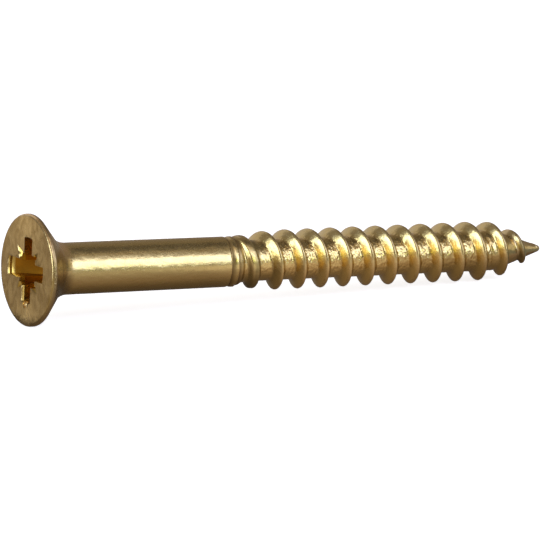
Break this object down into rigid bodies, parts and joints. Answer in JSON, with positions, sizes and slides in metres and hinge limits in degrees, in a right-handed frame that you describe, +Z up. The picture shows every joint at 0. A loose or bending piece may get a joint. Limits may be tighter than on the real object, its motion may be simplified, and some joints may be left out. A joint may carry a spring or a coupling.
{
  "type": "brass wood screw",
  "caption": "Countersunk brass wood screw with a cross recess, a plain shank, a coarse rolled thread and a gimlet point, lying on its side.",
  "frame": {"origin": "under the middle of the screw's box, on the plane that it lies on", "axes": "+X from the head to the point, +Z up; the screw's own axis dips 2.93 degrees towards the point"},
  "size_m": [0.0402, 0.0076, 0.0076],
  "materials": {
    "brass": "bright drawn brass, lightly dulled"
  },
  "bodies": {
    "root": {"wood_screw": "brass"}
  },
  "joints": []
}
